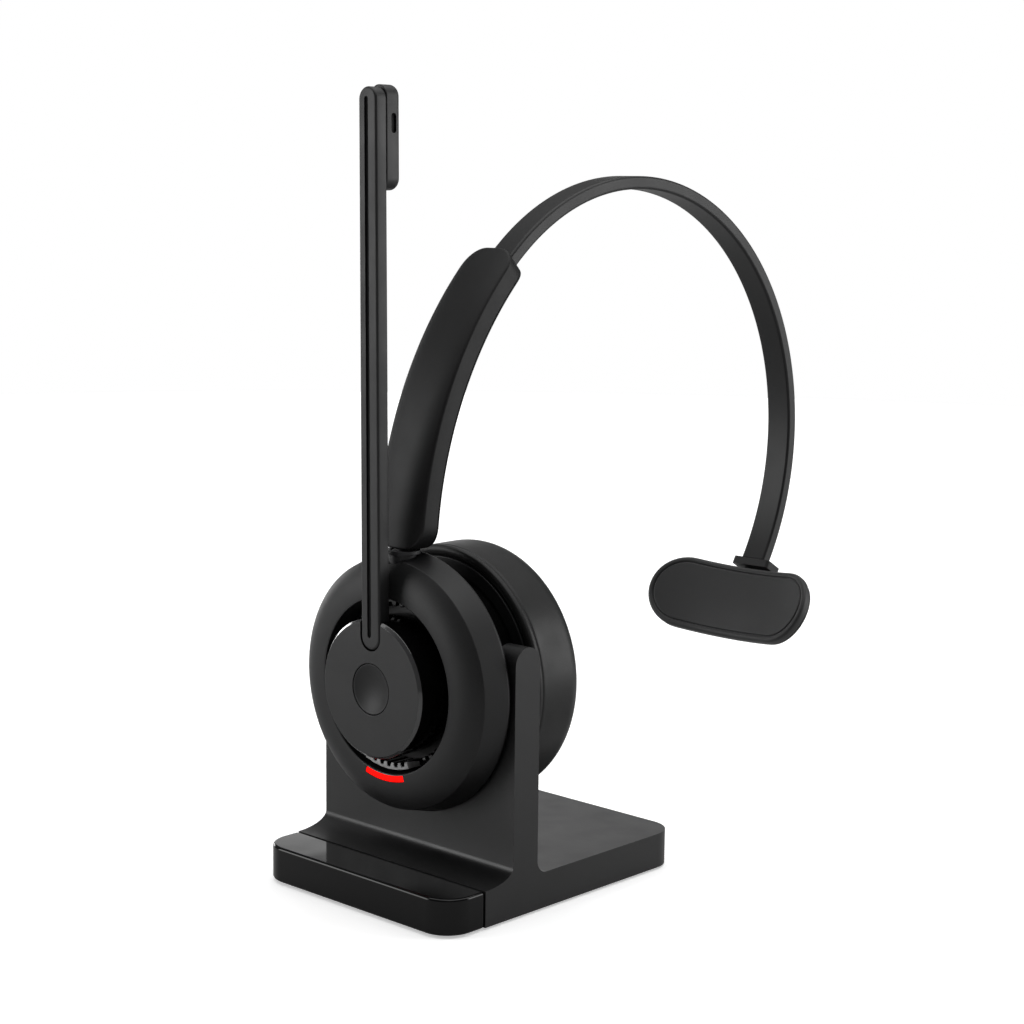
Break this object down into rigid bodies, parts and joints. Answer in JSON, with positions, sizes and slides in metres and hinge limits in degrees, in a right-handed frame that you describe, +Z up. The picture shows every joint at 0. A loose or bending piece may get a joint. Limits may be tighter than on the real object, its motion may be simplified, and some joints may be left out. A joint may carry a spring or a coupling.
{
  "type": "office headset",
  "caption": "Single-ear wireless headset with a swinging microphone boom, sliding headband and temple pad, resting in an upright charging stand.",
  "frame": {"origin": "centre of the underside of the rest pad, on the surface that the stand rests on", "axes": "+Z up, +X to the right seen from the front, +Y to the back, where the headband reaches; the ear cup turns about an axis along Y"},
  "size_m": [0.066, 0.1711, 0.1951],
  "materials": {
    "stand_shell": "fine spark-eroded texture",
    "stand_gloss": "high gloss piano black",
    "cup_shell": "satin moulded",
    "boom_shell": "satin moulded",
    "button": "satin moulded",
    "arm_shell": "satin moulded",
    "band_strip": "semi-matte moulded nylon",
    "pad_shell": "satin moulded",
    "soft_pad": "soft-touch skin",
    "leatherette": "protein leatherette",
    "grey_nylon": "moulded nylon",
    "light_guide": "lit red diffuser",
    "rubber_foot": "silicone",
    "steel": "zinc plated",
    "gold": "gold plated",
    "circuit_board": "solder mask",
    "cell_wrap": "laminated foil",
    "mesh_cloth": "woven acoustic mesh"
  },
  "bodies": {
    "stand": {"stand_body": "stand_shell", "stand_front_cap": "stand_gloss", "stand_bottom_cover": "stand_shell", "rest_pad": "rubber_foot", "cover_screw_1": "steel", "cover_screw_2": "steel", "cover_screw_3": "steel", "cover_screw_4": "steel", "ballast_plate": "steel", "charging_board": "circuit_board", "usb_c_receptacle": "steel", "contact_pin_holder": "grey_nylon", "contact_pin_left": "gold", "contact_pin_right": "gold"},
    "ear_cup": {"cup_front_housing": "cup_shell", "cup_groove_drum": "cup_shell", "status_light_guide": "light_guide", "detent_ring": "grey_nylon", "hub_wave_washer": "steel", "main_board": "circuit_board", "mute_switch": "steel", "battery_cell": "cell_wrap", "speaker_baffle": "cup_shell", "speaker_driver": "steel", "acoustic_mesh": "mesh_cloth", "ear_cushion": "leatherette", "charge_contact_left": "gold", "charge_contact_right": "gold", "housing_screw_1": "steel", "housing_screw_2": "steel", "housing_screw_3": "steel", "swivel_bush": "grey_nylon"},
    "boom": {"boom_hub": "boom_shell", "hub_axle": "steel", "hub_retaining_clip": "steel", "boom_arm": "boom_shell", "mic_pod": "boom_shell", "mic_capsule": "steel", "mic_screen": "mesh_cloth"},
    "mute_button": {"mute_button": "button"},
    "slider_arm": {"slider_outer_shell": "arm_shell", "slider_inner_shell": "arm_shell", "slider_friction_pad": "rubber_foot", "slider_screw_left": "steel", "slider_screw_right": "steel", "swivel_pin": "grey_nylon"},
    "headband": {"headband_strip": "band_strip", "band_end_stop": "grey_nylon", "pad_bracket": "pad_shell"},
    "temple_pad": {"pad_backing": "pad_shell", "pad_cushion": "soft_pad", "pad_hinge_pin": "steel"}
  },
  "joints": [
    {"name": "headset_lift", "type": "slide", "parent": "stand", "child": "ear_cup", "axis": [0, 0, 1], "range_m": [0, 0.06]},
    {"name": "boom_swing", "type": "hinge", "parent": "ear_cup", "child": "boom", "pos_m": [0, -0.03, 0.0531], "axis": [0, 1, 0], "range_deg": [-135, 135]},
    {"name": "mute_press", "type": "slide", "parent": "ear_cup", "child": "mute_button", "axis": [0, 1, 0], "range_m": [0, 0.0008], "stiffness_N_per_m": 600, "springref_m": -0.001},
    {"name": "cup_swivel", "type": "hinge", "parent": "ear_cup", "child": "slider_arm", "pos_m": [0, -0.0246, 0.086], "axis": [0, 0, 1], "range_deg": [-25, 25]},
    {"name": "headband_slide", "type": "hinge", "parent": "slider_arm", "child": "headband", "pos_m": [0, 0.0749, 0.0824], "axis": [-1, 0, 0], "range_deg": [0, 14]},
    {"name": "pad_tilt", "type": "hinge", "parent": "headband", "child": "temple_pad", "pos_m": [0, 0.11633, 0.05977], "axis": [1, 0, 0], "range_deg": [-10, 10]}
  ]
}
